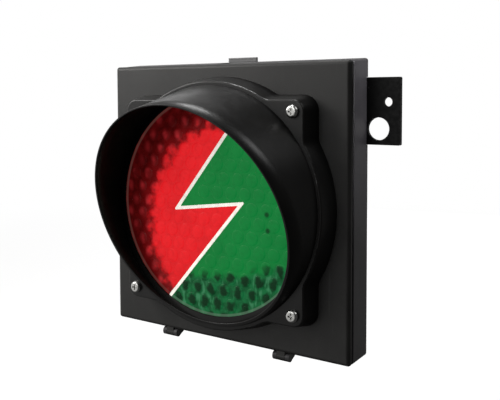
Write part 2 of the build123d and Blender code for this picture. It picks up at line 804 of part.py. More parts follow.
# ---------------------------------------------------------------- wall bracket
def mounting_bracket():
    rear_plane = Plane(origin=(0, 0, 0), x_dir=(1, 0, 0), z_dir=(0, 1, 0))  # local Y is -Z
    with BuildPart() as bracket:
        with BuildSketch(front(0)):
            with Locations(((BRACKET_X0 + BRACKET_X1) / 2, BRACKET_MID_Z)):
                RectangleRounded(BRACKET_X1 - BRACKET_X0, BRACKET_Z1 - BRACKET_Z0, 0.8)
            circles([EAR_SCREW], EAR_SCREW_R, Mode.SUBTRACT)
            circles([EAR_BOLT], EAR_BOLT_R, Mode.SUBTRACT)
        extrude(amount=BRACKET_T)
        with Locations(rear_plane):
            with Locations(*[(x, -z) for x, z in BRACKET_FIX]):
                CounterSinkHole(
                    radius=2.15, counter_sink_radius=4.4, depth=BRACKET_T + 0.01,
                    counter_sink_angle=90,
                )
    return bracket.part


BRACKET_HEAD_D = 0.15   # the screw heads are sunk this far below the rear face
BRACKET_SCREW_PROFILE = [   # (radius, y) of the countersunk screw
    (0, -BRACKET_HEAD_D), (3.9, -BRACKET_HEAD_D), (3.9, -0.35), (BRACKET_SCREW_R, -2.25),
    (BRACKET_SCREW_R, -9.6), (1.6, -10.0), (0, -10.0),
]


def bracket_screws():
    with BuildPart() as screws:
        for x, z in BRACKET_FIX:
            with BuildSketch(turning_plane(x, z)):
                with BuildLine():
                    Polyline(*BRACKET_SCREW_PROFILE, close=True)
                make_face()
            revolve(axis=Axis((x, 0, z), (0, 1, 0)))
        with BuildSketch(front(BRACKET_HEAD_D)):
            crosses(BRACKET_FIX, 4.4, 0.9)
        extrude(amount=1.3, mode=Mode.SUBTRACT)
    return screws.part


def bracket_inserts():
    with BuildPart() as inserts:
        with BuildSketch(front(INSERT_BACK)):
            with Locations(*BRACKET_FIX):
                Circle(INSERT_R)
                Circle(BRACKET_SCREW_R + RUN, mode=Mode.SUBTRACT)
        extrude(amount=INSERT_L)
    return inserts.part


# ---------------------------------------------------------------- driver board, in the housing
TERMINAL_X = -33.0      # centre of the terminal block
TERMINAL_W = 9.0
TERMINAL_SCREW_X = -32.2
TERMINAL_SCREW_D = DRIVER_FRONT + 5.2
TERMINALS_Z = [DRIVER_Z + k for k in (-7.5, -2.5, 2.5, 7.5)]
TERMINAL_SCREWS = [(TERMINAL_SCREW_X, z) for z in TERMINALS_Z]
FUSE_X, FUSE_Z = -19.0, -18.0       # left end and axis
FUSE_L = 16.0
CLIP_W = 5.0
CLIP_INSET = 0.5        # from each end of the fuse
CLIP_HALF = 3.4
CLIP_T = 0.5


def driver_board():
    with BuildPart() as board:
        with BuildSketch(front(DRIVER_BACK)):
            with Locations((DRIVER_X, DRIVER_Z)):
                RectangleRounded(DRIVER_W, DRIVER_H, 2.0)
            circles(DRIVER_FIX, BOARD_HOLE_R, Mode.SUBTRACT)
        extrude(amount=PCB_T)
    return board.part


def terminal_block():
    with BuildPart() as block:
        with BuildSketch(front(DRIVER_FRONT)):
            with Locations((TERMINAL_X, DRIVER_Z)):
                Rectangle(TERMINAL_W, 22.0)
        extrude(amount=8.6)
        front_edges = block.faces().sort_by(Axis.Y)[0].edges()
        chamfer(front_edges.filter_by(Axis.Z).sort_by(Axis.X)[0], 2.0)
        # wire entries face the cable grommet; screw wells open forward
        with BuildSketch(side(TERMINAL_X - TERMINAL_W / 2)):
            with Locations(*[(-(DRIVER_FRONT + 2.8), z) for z in TERMINALS_Z]):
                Rectangle(3.0, 3.2)
        extrude(amount=4.0, mode=Mode.SUBTRACT)
        with BuildSketch(front(TERMINAL_SCREW_D)):
            circles(TERMINAL_SCREWS, 1.8)
        extrude(amount=4.0, mode=Mode.SUBTRACT)
    return block.part


def terminal_screws():
    with BuildPart() as screws:
        with BuildSketch(front(TERMINAL_SCREW_D)):
            circles(TERMINAL_SCREWS, 1.7)
        extrude(amount=1.8)
        with BuildSketch(front(TERMINAL_SCREW_D + 1.1)):
            with Locations(*TERMINAL_SCREWS):
                Rectangle(3.4, 0.5)
        extrude(amount=1.0, mode=Mode.SUBTRACT)
    return screws.part


def film_capacitor():
    with BuildPart() as capacitor:
        with BuildSketch(front(DRIVER_FRONT)):
            with Locations((30.0, -22.0)):
                RectangleRounded(26.5, 11.0, 0.8)
        extrude(amount=8.2)
        fillet(capacitor.faces().sort_by(Axis.Y)[0].edges(), 0.6)
    return capacitor.part


def electrolytic_capacitors():
    """Two cans lying along X."""
    with BuildPart() as cans:
        for z in (-48.0, -58.0):
            with BuildSketch(side(24.0)):
                circles([(-(DRIVER_FRONT + 4.1), z)], 4.0)
            extrude(amount=18.0)
    return cans.part


def rectifier():
    with BuildPart() as body:
        with BuildSketch(front(DRIVER_FRONT)):
            with Locations((6.0, -22.0)):
                Rectangle(9.0, 6.6)
        extrude(amount=3.2)
    return body.part


def fuse():
    with BuildPart() as tube:
        with BuildSketch(side(FUSE_X)):
            circles([(-(DRIVER_FRONT + 4.2), FUSE_Z)], 2.45)
        extrude(amount=FUSE_L)
    return tube.part


def fuse_clips():
    """Two U-shaped clips, open to the front."""
    base_y, floor_y, tip_y = (-(DRIVER_FRONT + height) for height in (0.0, 1.0, 6.0))
    low, high = FUSE_Z - CLIP_HALF, FUSE_Z + CLIP_HALF
    with BuildPart() as clips:
        for x in (FUSE_X + CLIP_INSET, FUSE_X + FUSE_L - CLIP_INSET - CLIP_W):
            with BuildSketch(side(x)):
                with BuildLine():
                    Polyline(
                        (base_y, low), (base_y, high), (tip_y, high), (tip_y, high - CLIP_T),
                        (floor_y, high - CLIP_T), (floor_y, low + CLIP_T),
                        (tip_y, low + CLIP_T), (tip_y, low), close=True,
                    )
                make_face()
            extrude(amount=CLIP_W)
    return clips.part


# ---------------------------------------------------------------- cable grommet in the back
GROMMET_PROFILE = [     # (radius, y) membrane, rim in the hole, collar inside the back
    (0, -1.2), (3.2, -1.2), (5.0, -0.3), (GROMMET_R, -0.3), (GROMMET_R, -WALL), (9.5, -WALL),
    (9.0, -4.6), (5.4, -4.8), (3.6, -2.2), (0, -2.2),
]


def cable_grommet():
    with BuildPart() as grommet:
        with BuildSketch(turning_plane(GROMMET_X, GROMMET_Z)):
            with BuildLine():
                Polyline(*GROMMET_PROFILE, close=True)
            make_face()
        revolve(axis=Axis((GROMMET_X, 0, GROMMET_Z), (0, 1, 0)))
    return grommet.part


# ---------------------------------------------------------------- wiring between the two boards
# Four leads in two halves, whose free ends come close together above the hinge line.
def leads_along(stations, end_tangent):
    """Round leads through the (D, z) stations, leaving their plug downward."""
    with BuildPart() as leads:
        for x in LEADS_X:
            with BuildLine() as run:
                Spline(*[(x, -d, z) for d, z in stations], tangents=((0, 0, -1), end_tangent))
            with BuildSketch(Plane(origin=run.line @ 0, z_dir=run.line % 0)):
                Circle(LEAD_R)
            sweep(path=run.line)
    return leads.part


def harness_housing():
    stations = [
        (DRIVER_FRONT + 2.5, DRIVER_PLUG_Z + PLUG_RECESS),
        (DRIVER_FRONT + 2.7, DRIVER_PLUG_Z - 1.6),
        (13.1, -69.6),
    ]
    return leads_along(stations, end_tangent=(0, -1, 0))


def harness_door():
    stations = [
        (LED_BOARD_BACK - 2.5, LED_PLUG_Z + PLUG_RECESS),
        (LED_BOARD_BACK - 2.7, LED_PLUG_Z - 6.0),
        (14.3, -67.2),
    ]
    return leads_along(stations, end_tangent=(0, 0.8, -0.6))


# ---------------------------------------------------------------- one file for each piece
PIECES = (
    rear_housing, housing_gasket, front_door, visor,
    lens_red, lens_green, lens_divider, lens_gasket, lens_retainer,
    led_board, red_leds, green_leds, led_resistors, led_connector, led_board_screws,
    visor_screws, visor_nuts, hinge_pins,
    latch_lever, latch_blade, latch_rivet, latch_pin, latch_spring,
    mounting_bracket, bracket_screws, bracket_inserts,
    driver_board, driver_screws, terminal_block, terminal_screws, film_capacitor,
    electrolytic_capacitors, rectifier, fuse, fuse_clips, driver_connector,
    cable_grommet, harness_housing, harness_door,
)

for build in PIECES:
    piece = build()
    piece.label = build.__name__
    export_step(piece, f"parts/{build.__name__}.step")
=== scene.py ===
import math

import bmesh
import bpy
from mathutils import Matrix, Vector


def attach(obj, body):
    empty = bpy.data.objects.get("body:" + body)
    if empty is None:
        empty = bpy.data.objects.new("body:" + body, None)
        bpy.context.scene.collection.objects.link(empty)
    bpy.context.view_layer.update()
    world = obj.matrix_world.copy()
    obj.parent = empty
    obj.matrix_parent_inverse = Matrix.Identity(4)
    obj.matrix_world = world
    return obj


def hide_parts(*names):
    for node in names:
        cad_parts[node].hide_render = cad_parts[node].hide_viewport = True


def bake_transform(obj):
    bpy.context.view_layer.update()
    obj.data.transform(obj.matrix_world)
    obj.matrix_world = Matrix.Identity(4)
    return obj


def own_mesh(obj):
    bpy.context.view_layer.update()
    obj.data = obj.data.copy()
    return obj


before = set(bpy.data.objects)
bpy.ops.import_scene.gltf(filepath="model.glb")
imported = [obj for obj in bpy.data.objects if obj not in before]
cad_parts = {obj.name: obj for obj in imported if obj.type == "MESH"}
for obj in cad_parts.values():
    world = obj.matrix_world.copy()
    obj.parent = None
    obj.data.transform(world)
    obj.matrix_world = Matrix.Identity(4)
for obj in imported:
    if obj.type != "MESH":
        bpy.data.objects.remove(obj)
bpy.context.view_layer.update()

N = {name: (o if not isinstance(o, str) else bpy.data.objects[o]) for name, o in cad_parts.items()}
MM = 0.001

# lens layout, shared by the optics and their materials
PITCH = 9.4 * MM
ROW = PITCH * 0.866
LENS_Y = -35.0 * MM
ZIG = [(35.075, 72.7), (-24.3, -3.3), (21.6, 2.8), (-42.525, -71.95)]
RED_SIDE = ZIG + [(-42.5, -95.0), (-95.0, -95.0), (-95.0, 95.0), (35.0, 95.0)]


# ------------------------------------------------------------------ node graph helper
class Graph:
    """A material being built, one node call at a time."""

    def __init__(self, name):
        self.mat = bpy.data.materials.new(name)
        self.mat.use_nodes = True
        self.t = self.mat.node_tree
        self.t.nodes.clear()
        self.out = self.t.nodes.new("ShaderNodeOutputMaterial")
        self.coord = self.t.nodes.new("ShaderNodeTexCoord").outputs["Object"]
        self.geo = self.t.nodes.new("ShaderNodeNewGeometry")

    def put(self, socket, value):
        if isinstance(value, bpy.types.NodeSocket):
            self.t.links.new(value, socket)
        elif hasattr(socket.default_value, "__len__"):
            v = list(value) if hasattr(value, "__len__") else [value] * len(socket.default_value)
            if len(v) < len(socket.default_value):
                v.append(1.0)
            socket.default_value = v
        else:
            socket.default_value = value

    def node(self, kind, props=None, **inputs):
        n = self.t.nodes.new(kind)
        for k, v in (props or {}).items():
            setattr(n, k, v)
        for k, v in inputs.items():
            self.put(n.inputs[k.replace("_", " ")], v)
        return n

    def math(self, op, a, b=None, c=None, clamp=False):
        n = self.t.nodes.new("ShaderNodeMath")
        n.operation, n.use_clamp = op, clamp
        for i, v in enumerate((a, b, c)):
            if v is not None:
                self.put(n.inputs[i], v)
        return n.outputs[0]

    def vmath(self, op, a, b=None):
        n = self.t.nodes.new("ShaderNodeVectorMath")
        n.operation = op
        self.put(n.inputs[0], a)
        if b is not None:
            self.put(n.inputs[1], b)
        return n.outputs["Value"] if op in ("LENGTH", "DISTANCE", "DOT_PRODUCT") else n.outputs[0]

    def noise(self, scale, detail=2.0, rough=0.5, vec=None, stretch=None):
        v = vec if vec is not None else self.coord
        if stretch:
            v = self.vmath("MULTIPLY", v, stretch)
        return self.node("ShaderNodeTexNoise", Vector=v, Scale=scale, Detail=detail, Roughness=rough).outputs[0]

    def voronoi(self, scale, feature="F1", vec=None, randomness=1.0):
        n = self.node("ShaderNodeTexVoronoi", {"feature": feature}, Vector=vec if vec is not None else self.coord, Scale=scale)
        n.inputs["Randomness"].default_value = randomness
        return n.outputs["Distance"]

    def ramp(self, value, lo, hi, a=0.0, b=1.0, smooth=True):
        n = self.t.nodes.new("ShaderNodeMapRange")
        n.interpolation_type = "SMOOTHSTEP" if smooth else "LINEAR"
        n.clamp = True
        self.put(n.inputs["Value"], value)
        for key, v in (("From Min", lo), ("From Max", hi), ("To Min", a), ("To Max", b)):
            self.put(n.inputs[key], v)
        return n.outputs[0]

    def mix(self, fac, a, b, blend="MIX"):
        n = self.t.nodes.new("ShaderNodeMix")
        n.data_type, n.blend_type = "RGBA", blend
        self.put(n.inputs[0], fac)
        self.put(n.inputs[6], a)
        self.put(n.inputs[7], b)
        return n.outputs[2]

    def bump(self, height, strength=0.3, distance=0.0002, normal=None):
        n = self.t.nodes.new("ShaderNodeBump")
        n.inputs["Strength"].default_value = strength
        n.inputs["Distance"].default_value = distance
        self.t.links.new(height, n.inputs["Height"])
        if normal is not None:
            self.t.links.new(normal, n.inputs["Normal"])
        return n.outputs[0]

    def sep(self, v):
        n = self.t.nodes.new("ShaderNodeSeparateXYZ")
        self.put(n.inputs[0], v)
        return n.outputs

    def join(self, x, y, z):
        n = self.t.nodes.new("ShaderNodeCombineXYZ")
        for i, v in enumerate((x, y, z)):
            self.put(n.inputs[i], v)
        return n.outputs[0]

    def principled(self, **inputs):
        n = self.t.nodes.new("ShaderNodeBsdfPrincipled")
        for k, v in inputs.items():
            self.put(n.inputs[k.replace("_", " ")], v)
        self.t.links.new(n.outputs[0], self.out.inputs[0])
        return n

    def done(self, rgb, rough=0.5, metal=0.0):
        self.mat.diffuse_color = (*rgb, 1.0)
        self.mat.roughness, self.mat.metallic = rough, metal
        return self.mat


def grain_plastic(name, dark, light, rough=0.46, grain=1500.0, grain_depth=0.00006, dust=0.25, streak=0.35, coat=0.0, spec=0.5, wave=0.10, scuffs=0.25, cloudy=1.0, turned_rim=False):
    """Textured moulded plastic: fine spark-eroded grain, slow mottling, faint scuffs and settled dust."""
    g = Graph(name)
    mottle = g.noise(34.0, 4.0, 0.62)
    cloud = g.noise(9.0, 2.0, 0.5)
    fine = g.noise(grain, 2.0, 0.6)
    pits = g.voronoi(grain * 0.7)
    col = g.mix(g.ramp(mottle, 0.35, 0.7), dark, light)
    # rain streaks running down vertical faces
    st = g.noise(70.0, 3.0, 0.6, stretch=(1.0, 1.0, 0.07))
    col = g.mix(g.math("MULTIPLY", g.ramp(st, 0.56, 0.74), streak), col, tuple(c * 1.7 + 0.003 for c in light))
    # dust lying on faces that look up
    up = g.sep(g.geo.outputs["Normal"])[2]
    lie = g.math("MULTIPLY", g.ramp(up, 0.35, 0.95), g.ramp(g.noise(120.0, 4.0, 0.7), 0.36, 0.7))
    col = g.mix(g.math("MULTIPLY", lie, dust), col, (0.20, 0.19, 0.175))
    # thin scuffs
    sc = g.noise(260.0, 2.0, 0.5, stretch=(1.0, 0.25, 0.08))
    scuff = g.ramp(sc, 0.70, 0.76)
    col = g.mix(g.math("MULTIPLY", scuff, scuffs), col, tuple(c * 2.4 + 0.006 for c in light))
    r = g.math("ADD", g.ramp(cloud, 0.3, 0.7, rough - 0.06 * cloudy, rough + 0.07 * cloudy), g.math("MULTIPLY", lie, 0.25 * cloudy))
    r = g.math("ADD", r, g.ramp(fine, 0.35, 0.65, -0.03, 0.03))
    h = g.math("ADD", fine, g.math("MULTIPLY", pits, 0.8))
    nb = g.bump(h, 0.34, grain_depth)
    if wave:
        nb = g.bump(mottle, wave, 0.0004, nb)
    if turned_rim:
        # the last ten millimetres before the slanted front edge turn gently inwards
        s = g.sep(g.coord)
        ahead = g.math("SUBTRACT", g.math("SUBTRACT", g.math("MULTIPLY", s[1], -1.0), 0.0615 - 0.010), g.math("MULTIPLY", s[2], 0.352))
        ahead = g.math("MAXIMUM", ahead, 0.0)
        nb = g.bump(g.math("MULTIPLY", g.math("MULTIPLY", ahead, ahead), -30.0), 1.0, 1.0, nb)
    g.principled(Base_Color=col, Roughness=r, Normal=nb, IOR=1.47, Specular_IOR_Level=spec, Coat_Weight=coat, Coat_Roughness=0.25)
    return g.done(light, rough)


def rubber(name, rgb, rough=0.62, bloom=0.25):
    g = Graph(name)
    m = g.noise(60.0, 4.0, 0.6)
    col = g.mix(g.ramp(m, 0.3, 0.7), tuple(c * 0.7 for c in rgb), tuple(c * 1.3 for c in rgb))
    col = g.mix(g.math("MULTIPLY", g.ramp(g.noise(300.0, 3.0, 0.7), 0.55, 0.75), bloom), col, tuple(min(1, c + 0.06) for c in rgb))
    h = g.math("ADD", g.noise(2200.0, 2.0, 0.6), g.math("MULTIPLY", m, 0.4))
    g.principled(Base_Color=col, Roughness=g.ramp(m, 0.3, 0.7, rough - 0.08, rough + 0.1), Normal=g.bump(h, 0.3, 0.00006), IOR=1.45)
    return g.done(rgb, rough)


def metal(name, rgb, rough=0.28, turned=None, brush=(1.0, 1.0, 1.0), tarnish=(0.30, 0.26, 0.2), spots=0.2):
    """Plated or rolled metal: brush or turning marks, smudges and small tarnish spots."""
    g = Graph(name)
    lines = g.noise(900.0, 3.0, 0.6, stretch=brush)
    smudge = g.noise(160.0, 3.0, 0.6)
    spot = g.ramp(g.voronoi(420.0), 0.0, 0.16, 1.0, 0.0)
    spot = g.math("MULTIPLY", spot, g.ramp(g.noise(90.0, 2.0), 0.5, 0.66))
    col = g.mix(g.ramp(smudge, 0.3, 0.75), rgb, tuple(c * 0.72 for c in rgb))
    col = g.mix(g.math("MULTIPLY", spot, spots), col, tarnish)
    r = g.math("ADD", g.ramp(smudge, 0.3, 0.7, rough - 0.06, rough + 0.12), g.ramp(lines, 0.3, 0.7, -0.05, 0.08))
    g.principled(Base_Color=col, Metallic=1.0, Roughness=r, Normal=g.bump(lines, 0.18, 0.00004))
    return g.done(rgb, rough, 1.0)


def powder(name, rgb, rough=0.42, spec=0.5):
    """Powder coat on steel: orange peel, a fine speckle and bright wear on sharp edges."""
    g = Graph(name)
    peel = g.noise(420.0, 2.0, 0.5)
    speck = g.voronoi(1600.0)
    chip = g.math("MULTIPLY", g.ramp(g.noise(210.0, 4.0, 0.7), 0.68, 0.74), g.ramp(g.geo.outputs["Pointiness"], 0.53, 0.6))
    col = g.mix(g.ramp(g.noise(25.0, 3.0), 0.3, 0.7), rgb, tuple(c * 1.9 + 0.002 for c in rgb))
    col = g.mix(g.math("MULTIPLY", chip, 0.25), col, (0.25, 0.25, 0.25))
    h = g.math("ADD", peel, g.math("MULTIPLY", speck, 0.25))
    g.principled(Base_Color=col, Metallic=g.math("MULTIPLY", chip, 0.25), Roughness=g.ramp(peel, 0.3, 0.7, rough - 0.08, rough + 0.1),
                 Normal=g.bump(h, 0.28, 0.00012), IOR=1.48, Specular_IOR_Level=spec)
    return g.done(rgb, rough)


def hex_distance(g, cx=0.0, cz=0.0, squash=1.0):
    """Distance in metres to the nearest point of the LED grid; squash below one stretches the spots upright."""
    s = g.sep(g.coord)
    x, z = g.math("SUBTRACT", s[0], cx), g.math("SUBTRACT", s[2], cz)
    found = []
    for shift in (0.0, 0.5):
        px = g.math("ADD", g.math("DIVIDE", x, PITCH), 0.5 + shift)
        pz = g.math("ADD", g.math("DIVIDE", z, 2 * ROW), 0.5 + shift)
        fx = g.math("MULTIPLY", g.math("SUBTRACT", g.math("FRACT", px), 0.5), PITCH)
        fz = g.math("MULTIPLY", g.math("SUBTRACT", g.math("FRACT", pz), 0.5), 2 * ROW)
        found.append(g.vmath("LENGTH", g.join(fx, 0.0, g.math("MULTIPLY", fz, squash))))
    return g.math("MINIMUM", *found)


def circle_distance(g, cx, cz):
    s = g.sep(g.coord)
    return g.vmath("LENGTH", g.join(g.math("SUBTRACT", s[0], cx), 0.0, g.math("SUBTRACT", s[2], cz)))


def lens_material(name, lit, shaded_rgb, spot_rgb, hood_shade_circle, spot_mode, base, painted_rim_highlight_rgb):
    """Lit prismatic lens. Inside a given circle it glows evenly; outside it the glow is darkened as painted shade of
    the hood, with the LED grid showing through a darker body.
    """
    g = Graph(name)
    # the circle outside which the glow is darkened as painted shade of the hood
    cx, cz, r_in, r_out = hood_shade_circle
    wob = g.math("MULTIPLY", g.math("SUBTRACT", g.noise(110.0, 3.0), 0.5), 0.012)
    zr = g.math("ADD", circle_distance(g, cx, cz), wob)
    mott = g.noise(520.0, 3.0, 0.7)
    fleck = g.noise(230.0, 2.0, 0.6)
    slow = g.noise(45.0, 3.0, 0.6)
    glow = g.mix(g.ramp(slow, 0.3, 0.75), lit, tuple(c * 0.86 for c in lit))
    glow = g.mix(g.math("MULTIPLY", g.ramp(mott, 0.40, 0.72), 0.30), glow, tuple(c * 0.55 for c in lit))
    body = g.mix(g.ramp(fleck, 0.35, 0.68), shaded_rgb, tuple(c * 1.9 for c in shaded_rgb))
    if spot_mode == "bright":
        d = hex_distance(g)
        # the painted hood shade begins LED by LED, so the edge of the lit core is scalloped; in the painted shade each
        # LED is an upright streak that soon fades
        ragged = g.math("ADD", g.math("MULTIPLY", g.math("SUBTRACT", d, 0.0028), 0.75), g.math("MULTIPLY", g.math("SUBTRACT", fleck, 0.5), 0.010))
        dark = g.ramp(g.math("ADD", zr, ragged), r_in, r_out)
        body = g.mix(g.ramp(zr, r_out - 0.003, r_out + 0.008, 0.62, 0.0), body, tuple(c * 0.20 for c in lit))
        upright = hex_distance(g, 0.0, 0.0, 0.72)
        spot = g.ramp(g.math("ADD", upright, g.math("MULTIPLY", g.math("SUBTRACT", fleck, 0.5), 0.0036)), 0.0003, 0.0034, 1.0, 0.0)
        spot = g.math("MULTIPLY", spot, g.ramp(zr, r_out - 0.001, r_out + 0.011, 1.0, 0.34))
        glow = g.mix(g.math("MULTIPLY", g.ramp(d, 0.0030, 0.0053), 0.13), glow, tuple(c * 0.45 for c in lit))
        body = g.mix(g.math("MULTIPLY", spot, g.ramp(g.noise(140.0, 1.0), 0.36, 0.66, 0.25, 0.95)), body, spot_rgb)
        colour = g.mix(dark, glow, body)
    else:
        # painted shade of the hood: the glow darkens outside the circle
        dark = g.ramp(zr, r_in, r_out)
        d = hex_distance(g, 0.0, 0.0, 0.78)
        jag = g.math("ADD", d, g.math("MULTIPLY", g.math("SUBTRACT", fleck, 0.5), 0.0044))
        spot = g.ramp(jag, 0.0015, 0.0032, 1.0, 0.0)
        # the gaps between the spots carry pale upright streaks
        pale = g.math("MULTIPLY", g.ramp(g.noise(330.0, 2.0, 0.5, stretch=(1.0, 1.0, 0.35)), 0.52, 0.66), g.ramp(d, 0.0026, 0.0040))
        body = g.mix(g.math("MULTIPLY", pale, 0.75), body, (0.045, 0.21, 0.095))
        near = g.ramp(zr, r_in - 0.004, r_out - 0.001)
        colour = g.mix(dark, glow, body)
        colour = g.mix(g.math("MULTIPLY", g.math("MULTIPLY", spot, near), 0.95), colour, spot_rgb)
        for sx, sz in ((0.038, -0.002), (0.0385, -0.011)):
            blot = g.ramp(circle_distance(g, sx, sz), 0.0007, 0.0021, 1.0, 0.0)
            colour = g.mix(g.math("MULTIPLY", blot, 0.8), colour, spot_rgb)
    # painted highlight: the moulded rim of the lens is drawn as a pale ring in the glow colour
    rr = circle_distance(g, 0.0, 0.0)
    rim = g.math("MULTIPLY", g.ramp(rr, 0.0629, 0.0634), g.ramp(rr, 0.0644, 0.0650, 1.0, 0.0))
    colour = g.mix(g.math("MULTIPLY", rim, 0.6), colour, painted_rim_highlight_rgb)
    prism = g.math("ADD", g.math("MULTIPLY", g.voronoi(520.0), 0.6), g.noise(900.0, 2.0))
    nb = g.bump(prism, 0.20, 0.00010)
    g.principled(Base_Color=base, Roughness=g.ramp(mott, 0.3, 0.7, 0.24, 0.38), Normal=nb, IOR=1.49, Specular_IOR_Level=0.14,
                 Emission_Color=colour, Emission_Strength=1.0)
    return g.done(tuple(min(1.0, c) for c in lit), 0.2)


# ------------------------------------------------------------------ materials
M = {}
# the housing plastic is set about twice as light as the door's: partly its own tone, partly painted light standing in
# for light on its right flank
M["housing"] = grain_plastic("plastic_housing", (0.0240, 0.0225, 0.0255), (0.0350, 0.0330, 0.0370), rough=0.50, dust=0.16)
M["door"] = grain_plastic("plastic_door", (0.0110, 0.0107, 0.0100), (0.0185, 0.0180, 0.0170), rough=0.52, dust=0.14)
M["visor"] = grain_plastic("plastic_visor", (0.0070, 0.0068, 0.0066), (0.0105, 0.0102, 0.0098), rough=0.32, spec=0.42, grain=1900.0, grain_depth=0.00003,
                           dust=0.0, streak=0.0, wave=0.0, scuffs=0.04, cloudy=0.3, turned_rim=True)
M["retainer"] = grain_plastic("plastic_retainer", (0.010, 0.010, 0.010), (0.018, 0.018, 0.018), rough=0.55, dust=0.0, streak=0.0)
M["tab"] = grain_plastic("plastic_latch_grey", (0.15, 0.15, 0.152), (0.21, 0.21, 0.212), rough=0.45, dust=0.25, streak=0.3)
M["rubber"] = rubber("rubber_black", (0.016, 0.016, 0.016))
M["silicone"] = rubber("silicone_pale", (0.16, 0.19, 0.16), 0.4, 0.1)
M["bracket"] = powder("powder_coat_black", (0.0022, 0.0022, 0.0024), 0.50, 0.22)
M["black_screw"] = powder("black_zinc_screw", (0.012, 0.012, 0.013), 0.35)
M["bright"] = metal("nickel_bright", (0.74, 0.74, 0.72), 0.20)
M["zinc"] = metal("zinc_plate", (0.58, 0.58, 0.55), 0.34, tarnish=(0.42, 0.38, 0.25), spots=0.4)
M["spring"] = metal("spring_steel", (0.42, 0.42, 0.43), 0.30, brush=(0.05, 1.0, 1.0))
M["brass"] = metal("brass_turned", (0.70, 0.50, 0.20), 0.30)
M["solder"] = metal("solder", (0.66, 0.66, 0.68), 0.30, spots=0.1)


def board_material(name, mask, copper):
    """Circuit board: solder mask over tracks, with the glass weave just showing."""
    g = Graph(name)
    s = g.sep(g.coord)
    # tracks: quantised noise bands in two directions
    bx = g.math("FRACT", g.math("MULTIPLY", s[0], 160.0))
    bz = g.math("FRACT", g.math("MULTIPLY", s[2], 130.0))
    gate = g.ramp(g.noise(38.0, 1.0, 0.3, stretch=(1.0, 0.0, 1.0)), 0.49, 0.50)
    band_x = g.math("MULTIPLY", g.ramp(g.math("ABSOLUTE", g.math("SUBTRACT", bx, 0.5)), 0.16, 0.19, 1.0, 0.0), gate)
    band_z = g.math("MULTIPLY", g.ramp(g.math("ABSOLUTE", g.math("SUBTRACT", bz, 0.5)), 0.14, 0.17, 1.0, 0.0), g.math("SUBTRACT", 1.0, gate))
    track = g.math("MAXIMUM", band_x, band_z)
    weave = g.math("MULTIPLY", g.math("SINE", g.math("MULTIPLY", s[0], 7000.0)), g.math("SINE", g.math("MULTIPLY", s[2], 7000.0)))
    col = g.mix(track, mask, copper)
    col = g.mix(g.math("MULTIPLY", g.ramp(weave, 0.0, 1.0), 0.12), col, tuple(c * 1.6 for c in mask))
    flux = g.ramp(g.noise(70.0, 4.0, 0.65), 0.55, 0.72)
    col = g.mix(g.math("MULTIPLY", flux, 0.16), col, (0.25, 0.22, 0.12))
    h = g.math("ADD", g.math("MULTIPLY", track, 0.7), g.math("MULTIPLY", weave, 0.06))
    g.principled(Base_Color=col, Roughness=g.ramp(flux, 0.0, 1.0, 0.30, 0.5), Normal=g.bump(h, 0.35, 0.00006), IOR=1.5, Coat_Weight=0.2)
    return g.done(mask, 0.3)


M["board"] = board_material("circuit_board_green", (0.008, 0.060, 0.024), (0.020, 0.110, 0.042))
M["nylon"] = grain_plastic("nylon_connector", (0.55, 0.52, 0.43), (0.66, 0.63, 0.54), rough=0.42, dust=0.05, streak=0.0)
M["terminal"] = grain_plastic("terminal_green", (0.012, 0.15, 0.055), (0.02, 0.20, 0.075), rough=0.4, dust=0.05, streak=0.0)
M["epoxy"] = grain_plastic("black_epoxy", (0.011, 0.011, 0.012), (0.022, 0.022, 0.023), rough=0.4, dust=0.1, streak=0.0)


def film_material():
    g = Graph("film_capacitor_yellow")
    m = g.noise(80.0, 4.0, 0.6)
    col = g.mix(g.ramp(m, 0.3, 0.7), (0.62, 0.36, 0.03), (0.72, 0.45, 0.05))
    col = g.mix(g.ramp(g.voronoi(700.0), 0.0, 0.1, 0.35, 0.0), col, (0.45, 0.25, 0.02))
    g.principled(Base_Color=col, Roughness=g.ramp(m, 0.3, 0.7, 0.22, 0.34), Normal=g.bump(m, 0.2, 0.0003), Coat_Weight=0.4)
    return g.done((0.7, 0.42, 0.04), 0.25)


def sleeve_material():
    """Shrink sleeve of the electrolytics: dark blue with the pale polarity stripe along one side."""
    g = Graph("capacitor_sleeve")
    s = g.sep(g.coord)
    n = g.sep(g.geo.outputs["Normal"])
    stripe = g.math("MULTIPLY", g.ramp(n[2], 0.60, 0.66), g.ramp(n[1], -0.9, -0.2, 1.0, 0.6))
    dash = g.ramp(g.math("ABSOLUTE", g.math("SUBTRACT", g.math("FRACT", g.math("MULTIPLY", s[0], 220.0)), 0.5)), 0.22, 0.25)
    col = g.mix(g.ramp(g.noise(50.0, 3.0), 0.3, 0.7), (0.008, 0.012, 0.040), (0.014, 0.020, 0.060))
    pale = g.mix(dash, (0.05, 0.06, 0.10), (0.42, 0.44, 0.46))
    col = g.mix(stripe, col, pale)
    endcap = g.ramp(g.math("ABSOLUTE", n[0]), 0.8, 0.9)
    col = g.mix(endcap, col, (0.45, 0.45, 0.46))
    g.principled(Base_Color=col, Metallic=endcap, Roughness=0.32, Normal=g.bump(g.noise(200.0, 3.0), 0.12, 0.0002), Coat_Weight=0.3)
    return g.done((0.012, 0.016, 0.05), 0.3)


